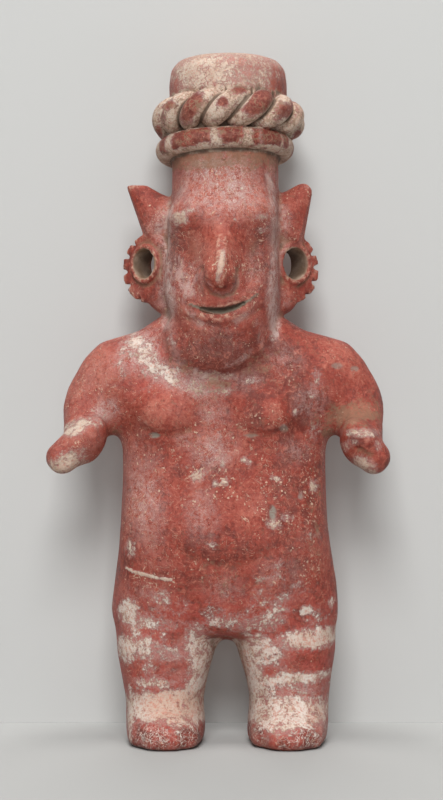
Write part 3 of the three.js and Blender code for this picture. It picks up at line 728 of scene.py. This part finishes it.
def slipMaterial():
    material = bpy.data.materials.new("burnishedRedSlip")
    material.use_nodes = True
    tree = material.node_tree
    tree.nodes.clear()

    def add(kind, **settings):
        return newNode(tree, kind, **settings)

    def put(socket, value):    # a link, a colour's name, or a plain value
        if isinstance(value, bpy.types.NodeSocket):
            tree.links.new(value, socket)
        elif isinstance(value, str):
            socket.default_value = (*slip[value], 1)
        else:
            socket.default_value = value

    def maths(operation, a, b=0.0, c=0.0, clamp=False):
        made = add("Math", operation=operation, use_clamp=clamp)
        for socket, value in zip(made.inputs, (a, b, c)):
            put(socket, value)
        return made.outputs[0]

    def times(a, b):
        return maths("MULTIPLY", a, b)

    def plus(field, weight, rest):    # field times weight, plus the rest
        return maths("MULTIPLY_ADD", field, weight, rest)

    def higher(a, b, clamp=False):
        return maths("MAXIMUM", a, b, clamp=clamp)

    def less(a, b):
        return maths("SUBTRACT", a, b)

    def between(value, low, high):    # 0 at low, 1 at high, smooth in between
        made = add("MapRange", interpolation_type="SMOOTHSTEP")
        put(made.inputs["Value"], value)
        put(made.inputs["From Min"], low)
        put(made.inputs["From Max"], high)
        return made.outputs[0]

    def mix(factor, a, b):
        made = add("Mix", data_type="RGBA")
        put(made.inputs[0], factor)
        put(made.inputs[6], a)
        put(made.inputs[7], b)
        return made.outputs[2]

    def lay(layer, mask, below, colour):    # a layer over what lies below it
        return mix(times(mask, slip["layers"][layer]), below, colour)

    def blend(*parts):    # (field, weight) pairs added up
        total = times(*parts[0])
        for field, weight in parts[1:]:
            total = plus(field, weight, total)
        return total

    where = add("TexCoord").outputs["Object"]

    def stretched(amounts):
        made = add("Mapping")
        put(made.inputs["Vector"], where)
        made.inputs["Scale"].default_value = amounts
        return made.outputs[0]

    def noiseField(scale, detail=4.0, rough=0.55, twist=0.0, vector=None):
        made = add("TexNoise")
        put(made.inputs["Vector"], vector or where)
        put(made.inputs["Scale"], scale)
        put(made.inputs["Detail"], detail)
        put(made.inputs["Roughness"], rough)
        put(made.inputs["Distortion"], twist)
        return made.outputs["Fac"]

    def cloud(name):
        return noiseField(*slip["noises"][name])

    def threads(name):    # thin wandering lines
        scale, width, twist = slip["threads"][name]
        off = maths("ABSOLUTE", less(noiseField(scale, 2, 0.5, twist), 0.5))
        return between(off, width, width * 0.3)

    def painted(name):
        return add("Attribute", attribute_name=name).outputs["Fac"]

    def crackleLines():
        scale, bendScale, bendReach = slip["crackle"]
        bends = add("TexNoise")
        put(bends.inputs["Vector"], where)
        put(bends.inputs["Scale"], bendScale)
        bent = add("VectorMath", operation="MULTIPLY_ADD")
        put(bent.inputs[0], bends.outputs["Color"])
        put(bent.inputs[1], (bendReach, bendReach, bendReach))
        put(bent.inputs[2], where)
        net = add("TexVoronoi", feature="DISTANCE_TO_EDGE")
        put(net.inputs["Vector"], bent.outputs[0])
        put(net.inputs["Scale"], scale)
        return between(net.outputs["Distance"], 0.10, 0.03)

    names = ("broad", "middling", "fine", "grain", "patch", "speckle", "grit", "swirl")
    broad, middling, fine, grain, patch, speckle, gritFine, swirl = (cloud(name) for name in names)
    grit = blend((gritFine, 0.6), (grain, 0.4))
    upright = noiseField(1, 5, 0.6, vector=stretched((330, 330, 60)))
    level = noiseField(1, 5, 0.6, vector=stretched((50, 50, 330)))
    crackle = crackleLines()
    chalk, bands, shadingAndDarkRed, pink = painted("chalk"), painted("bands"), painted("shadingAndDarkRed"), painted("pink")

    # the red slip, darker and brighter in clouds and with painted shade and painted highlight, rubbed in
    # streaks, with grit in it
    tone = blend((broad, 0.30), (middling, 0.36), (fine, 0.34), (shadingAndDarkRed, -0.085))
    red = mix(between(tone, 0.40, 0.50), "darkRed", "red")
    red = mix(between(tone, 0.49, 0.62), red, "brightRed")
    red = lay("freshRed", times(chalk, between(patch, 0.42, 0.56)), red, "freshRed")
    rubbed = plus(upright, 0.5, times(level, 0.5))
    red = lay("streaks", between(rubbed, 0.46, 0.60), red, "brightRed")
    red = lay("darkGrit", between(grit, 0.485, 0.44), red, "darkRed")
    red = lay("lightGrit", between(grit, 0.535, 0.58), red, "rubbed")
    red = lay("darkSwirl", between(swirl, 0.46, 0.39), red, "darkRed")
    red = lay("lightSwirl", between(swirl, 0.54, 0.61), red, "rubbed")

    # the whitish veil, and the cap's pink
    veil = between(blend((cloud("veil"), 0.62), (upright, 0.26), (grit, 0.12)), 0.43, 0.57)
    hazeMask = plus(between(broad, 0.47, 0.66), 0.16, painted("haze"))
    calm = plus(shadingAndDarkRed, -0.5, 1.0)
    hazed = maths("MULTIPLY", times(hazeMask, calm), plus(veil, 0.66, 0.02), clamp=True)
    surface = mix(hazed, red, "haze")
    surface = lay("pink", pink, surface, "pink")

    # cream paint, eaten away at its edges, and the stain that it left
    eaten = blend((patch, 0.24), (cloud("eaten"), 0.36), (speckle, 0.2), (upright, 0.1), (level, 0.1))
    eaten = between(eaten, 0.39, 0.61)
    eaten = plus(crackle, times(pink, 0.35), eaten)
    dust = times(between(cloud("dust"), 0.42, 0.62), plus(chalk, 0.3, 0.05))
    dust = plus(hazeMask, 0.05, dust)
    creamMask = painted("cream")
    share = higher(creamMask, times(dust, less(1.0, bands)))
    creamTone = mix(between(middling, 0.40, 0.62), "cream", "warmCream")
    creamTone = mix(chalk, creamTone, mix(between(patch, 0.40, 0.64), "chalk", "cream"))
    creamTone = mix(painted("peach"), creamTone, "peach")
    creamStain = times(between(speckle, 0.47, 0.64), slip["layers"]["creamStain"])
    clean = times(less(1.0, times(bands, 0.6)), less(1.0, times(chalk, 0.5)))
    creamTone = mix(times(creamStain, clean), creamTone, "haze")
    creamTone = lay("creamGrit", between(grit, 0.485, 0.43), creamTone, "rubbed")
    stained = between(less(maths("MULTIPLY", share, 1.25), eaten), -0.42, 0.1)
    stained = maths("MULTIPLY", stained, maths("MULTIPLY", share, 3.0, clamp=True))
    stained = times(stained, less(1.0, painted("toes")))
    surface = lay("stain", stained, surface, "haze")
    edge = plus(higher(chalk, bands), -0.08, 0.12)    # crisper on bands and legs
    lost = less(eaten, less(share, 0.07))
    creamed = between(lost, edge, maths("MULTIPLY", edge, -1.0))
    surface = lay("cream", creamed, surface, creamTone)
    pits = times(times(creamed, chalk), between(cloud("creamPits"), 0.52, 0.55))
    surface = lay("creamPits", pits, surface, mix(between(patch, 0.45, 0.55), "rubbed", "red"))

    # wisps, brush lines, hair lines, chips and specks
    wispShare = plus(hazeMask, 0.85, times(stained, 0.5))
    wispShare = maths("MULTIPLY", wispShare, calm, clamp=True)
    wisps = higher(threads("wisps"), threads("fineWisps"))
    surface = lay("wisps", times(wisps, wispShare), surface, "wisp")
    brushed = times(painted("brushed"), between(cloud("brushed"), 0.42, 0.58))
    surface = lay("brushed", brushed, surface, "wisp")
    lineShare = between(blend((middling, 0.5), (broad, 0.5)), 0.45, 0.55)
    hazeLines = times(threads("hazeLines"), times(hazeMask, 0.9))
    lines = higher(times(threads("lines"), lineShare), hazeLines)
    surface = lay("lines", lines, surface, "speck")
    chips = times(higher(threads("chips"), threads("fineChips")), painted("toes"))
    surface = lay("chips", chips, surface, "chalk")
    specks = times(between(cloud("specks"), 0.62, 0.65), between(cloud("speckGroups"), 0.57, 0.62))
    bigSpecks = times(between(cloud("bigSpecks"), 0.70, 0.72), between(broad, 0.45, 0.52))
    closeSpecks = times(between(cloud("closeSpecks"), 0.60, 0.62), between(painted("specked"), 0.2, 0.7))
    specks = higher(higher(specks, bigSpecks), closeSpecks)
    surface = lay("specks", specks, surface, "speck")
    darkSpecks = between(cloud("darkSpecks"), 0.33, 0.28)
    surface = lay("darkSpecks", darkSpecks, surface, "darkRed")

    # what the two headbands lost, and the dirt in them
    cracks = times(bands, times(crackle, between(middling, 0.44, 0.58)))
    surface = lay("cracks", cracks, surface, "grimeAndShade")
    bandCream = times(bands, creamed)
    surface = lay("veins", times(bandCream, threads("veins")), surface, "grimeAndShade")
    darkPits = times(bandCream, between(cloud("darkPits"), 0.445, 0.415))
    surface = lay("darkPits", darkPits, surface, "grimeAndShade")
    flecks = times(times(bands, creamMask), between(cloud("flecks"), 0.535, 0.575))
    fleckTone = mix(between(patch, 0.47, 0.53), "pink", "darkRed")
    surface = lay("flecks", flecks, surface, fleckTone)
    surface = lay("paleFlecks", times(flecks, between(swirl, 0.48, 0.42)), surface, "chalk")

    # dirt and painted shade in the hollows, wear on the ridges, grey chips, bores with painted shade deep
    # inside, and the mouth with the painted shadow of its upper lip
    hollow = painted("hollow")
    dirtNoise = between(blend((cloud("dirtAndShade"), 0.6), (speckle, 0.4)), 0.36, 0.64)
    # painted shade in the creases, in the grime tone
    crease = times(between(hollow, 0.012, 0.07), 0.8)
    dirtAndShade = higher(between(less(painted("grimeAndShade"), dirtNoise), -0.3, 0.3), crease)
    dusty = times(bands, times(between(fine, 0.45, 0.58), 0.12))
    dirtAndShade = higher(dirtAndShade, dusty, clamp=True)
    surface = lay("dirtAndShade", dirtAndShade, surface, "grimeAndShade")
    # darker painted shade deep in the creases
    surface = lay("paintedShade", between(hollow, 0.05, 0.13), surface, "paintedShade")
    worn = times(between(hollow, -0.035, -0.12), between(fine, 0.47, 0.6))
    surface = lay("worn", worn, surface, "speck")
    surface = mix(times(painted("grey"), between(fine, 0.36, 0.5)), surface, "grey")
    boreTone = mix(between(middling, 0.35, 0.6), "warmCream", "grimeAndShade")
    surface = mix(painted("bore"), surface, boreTone)
    # painted shade deep in the bores
    surface = lay("boreShade", painted("boreShade"), surface, "paintedShade")
    surface = mix(painted("mouth"), surface, "mouthShade")
    # painted shadow of the upper lip
    surface = mix(painted("lipShadow"), surface, "paintedShade")

    shader = add("BsdfPrincipled")
    put(shader.inputs["Base Color"], surface)
    polish = plus(between(middling, 0.35, 0.65), 0.14, slip["burnish"])
    roughness = add("Mix", data_type="FLOAT")
    put(roughness.inputs[0], higher(creamed, dirtAndShade, clamp=True))
    put(roughness.inputs[2], plus(hazed, 0.25, polish))
    put(roughness.inputs[3], slip["matt"])
    put(shader.inputs["Roughness"], roughness.outputs[0])
    shader.inputs["Specular IOR Level"].default_value = slip["specular"]

    clayHeight = blend((grain, 0.1), (grit, 0.3), (swirl, 0.9), (fine, 0.5), (middling, 0.6))
    paintHeight = ((creamed, 0.3), (lines, 0.15), (specks, 0.25), (darkSpecks, -0.5), (rubbed, 0.35))
    bump = add("Bump")
    bump.inputs["Strength"].default_value = slip["bump"]
    bump.inputs["Distance"].default_value = slip["bumpReach"]
    put(bump.inputs["Height"], blend((clayHeight, 1.0), *paintHeight))
    put(shader.inputs["Normal"], bump.outputs[0])
    put(add("OutputMaterial").inputs["Surface"], shader.outputs[0])
    return material


figure = buildFigure()
figure.data.materials.append(slipMaterial())
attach(figure, "root")
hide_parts("standing_female_figure")
print("figure finished")


# The studio, m and watts.
studio = {
    "sheet": 3.0,
    "wall": 0.094,    # how far behind the frame's middle the sheet rises
    "rise": (0, -0.16, 2.2),
    "riseStart": 0.0002,    # above this height the sheet has the wall's tone
    "foot": (-0.04, 0.05),    # where the floor takes on the lighter foot tone, painted light against the shade at the wall's foot, towards the wall
    "floorDrop": 0.0006,
    "wallTone": (0.498, 0.500, 0.491),
    "floorTone": (0.368, 0.368, 0.358),
    "footLight": (0.382, 0.382, 0.372),    # floor at the foot of the wall, made lighter as painted light
    "roughness": 0.9,
    "specular": 0.1,
    "air": (1.0, 0.98, 0.95),
    "airStrength": 0.092,
    "aim": (0, 0, 0.25),
    "lamps": [    # place, size, watts
        ((0.0, -3.0, 0.30), 0.9, 11),
        ((-0.12, -3.9, 2.8), 1.7, 212),
        ((-0.06, -0.6, 3.5), 1.1, 62),
        ((0.0, 2.4, 1.2), 1.4, 30),
    ],
}


def paper(name, tone):
    made = bpy.data.materials.new(name)
    made.use_nodes = True
    shader = made.node_tree.nodes["Principled BSDF"]
    shader.inputs["Base Color"].default_value = (*studio[tone], 1)
    shader.inputs["Roughness"].default_value = studio["roughness"]
    shader.inputs["Specular IOR Level"].default_value = studio["specular"]
    return made


# The sheet is clear from behind and lets light through, so that the figure's back can be seen and lit.
def clearBehind(made):
    tree = made.node_tree
    shader = tree.nodes["Principled BSDF"]
    where, split = newNode(tree, "TexCoord"), newNode(tree, "SeparateXYZ")
    risen = newNode(tree, "Math", operation="GREATER_THAN")
    risen.inputs[1].default_value = studio["riseStart"]
    nearWall = newNode(tree, "MapRange")
    for end, value in zip(("From Min", "From Max"), studio["foot"]):
        nearWall.inputs[end].default_value = value
    ground, tone = (newNode(tree, "Mix", data_type="RGBA") for _ in range(2))
    ground.inputs[6].default_value = (*studio["floorTone"], 1)
    ground.inputs[7].default_value = (*studio["footLight"], 1)
    tone.inputs[7].default_value = (*studio["wallTone"], 1)
    side, ray = newNode(tree, "NewGeometry"), newNode(tree, "LightPath")
    either = newNode(tree, "Math", operation="MAXIMUM")
    clear, blend = newNode(tree, "BsdfTransparent"), newNode(tree, "MixShader")
    links = (
        (where.outputs["Object"], split.inputs[0]),
        (split.outputs["Z"], risen.inputs[0]),
        (split.outputs["Y"], nearWall.inputs["Value"]),
        (nearWall.outputs[0], ground.inputs[0]),
        (ground.outputs[2], tone.inputs[6]),
        (risen.outputs[0], tone.inputs[0]),
        (tone.outputs[2], shader.inputs["Base Color"]),
        (side.outputs["Backfacing"], either.inputs[0]),
        (ray.outputs["Is Shadow Ray"], either.inputs[1]),
        (either.outputs[0], blend.inputs[0]),
        (shader.outputs[0], blend.inputs[1]),
        (clear.outputs[0], blend.inputs[2]),
        (blend.outputs[0], tree.nodes["Material Output"].inputs["Surface"]),
    )
    for source, target in links:
        tree.links.new(source, target)
    return made


def buildSheet():
    bpy.ops.object.select_all(action="DESELECT")
    reach = studio["sheet"]
    bpy.ops.mesh.primitive_plane_add(size=reach, location=(0, studio["wall"] - reach / 2, 0))
    sheet = bpy.context.object
    sheet.name = "studio_sheet"
    bpy.ops.object.mode_set(mode="EDIT")
    bpy.ops.mesh.select_mode(type="EDGE")
    bpy.ops.mesh.select_all(action="DESELECT")
    bpy.ops.object.mode_set(mode="OBJECT")
    for edge in sheet.data.edges:    # the edge behind the figure
        edge.select = all(sheet.data.vertices[i].co.y > 0 for i in edge.vertices)
    bpy.ops.object.mode_set(mode="EDIT")
    bpy.ops.mesh.extrude_region_move(TRANSFORM_OT_translate={"value": studio["rise"]})
    bpy.ops.mesh.select_all(action="SELECT")
    bpy.ops.mesh.normals_make_consistent(inside=True)
    bpy.ops.object.mode_set(mode="OBJECT")
    bpy.ops.object.transform_apply(location=True)
    sheet.data.materials.append(clearBehind(paper("palePaper", "wallTone")))
    bpy.ops.object.select_all(action="DESELECT")
    bpy.ops.mesh.primitive_plane_add(size=reach * 3, location=(0, 0, -studio["floorDrop"]))
    floor = bpy.context.object
    floor.name = "studio_floor"
    floor.data.materials.append(paper("paleFloor", "floorTone"))


def hangLamps():
    for n, (place, size, watts) in enumerate(studio["lamps"]):
        bpy.ops.object.light_add(type="AREA", location=place)
        lamp = bpy.context.object
        lamp.name = "softbox%d" % n
        lamp.data.shape = "SQUARE"
        lamp.data.size = size
        lamp.data.energy = watts
        aim = Vector(studio["aim"]) - Vector(place)
        lamp.rotation_euler = aim.to_track_quat("-Z", "Y").to_euler()
    world = bpy.data.worlds.new("studioAir")
    world.use_nodes = True
    background = world.node_tree.nodes["Background"]
    background.inputs["Color"].default_value = (*studio["air"], 1)
    background.inputs["Strength"].default_value = studio["airStrength"]
    bpy.context.scene.world = world
    bpy.context.scene.view_settings.view_transform = "Standard"


# The camera: places and the height it takes in are in m, the sensor in mm.
view = {"distance": 1.6, "height": 0.2448, "tall": 0.576, "across": 0.0023, "sensor": 36}


def standCamera():
    data = bpy.data.cameras.new("view")
    data.sensor_fit = "VERTICAL"
    data.sensor_height = data.sensor_width = view["sensor"]
    data.lens = view["sensor"] * view["distance"] / view["tall"]
    camera = bpy.data.objects.new("view", data)
    camera.location = (view["across"], clay["middle"][1] / 1000 - view["distance"], view["height"])
    camera.rotation_euler = (math.radians(90), 0, 0)
    bpy.context.scene.collection.objects.link(camera)
    bpy.context.scene.camera = camera


buildSheet()
hangLamps()
standCamera()
print("studio set")
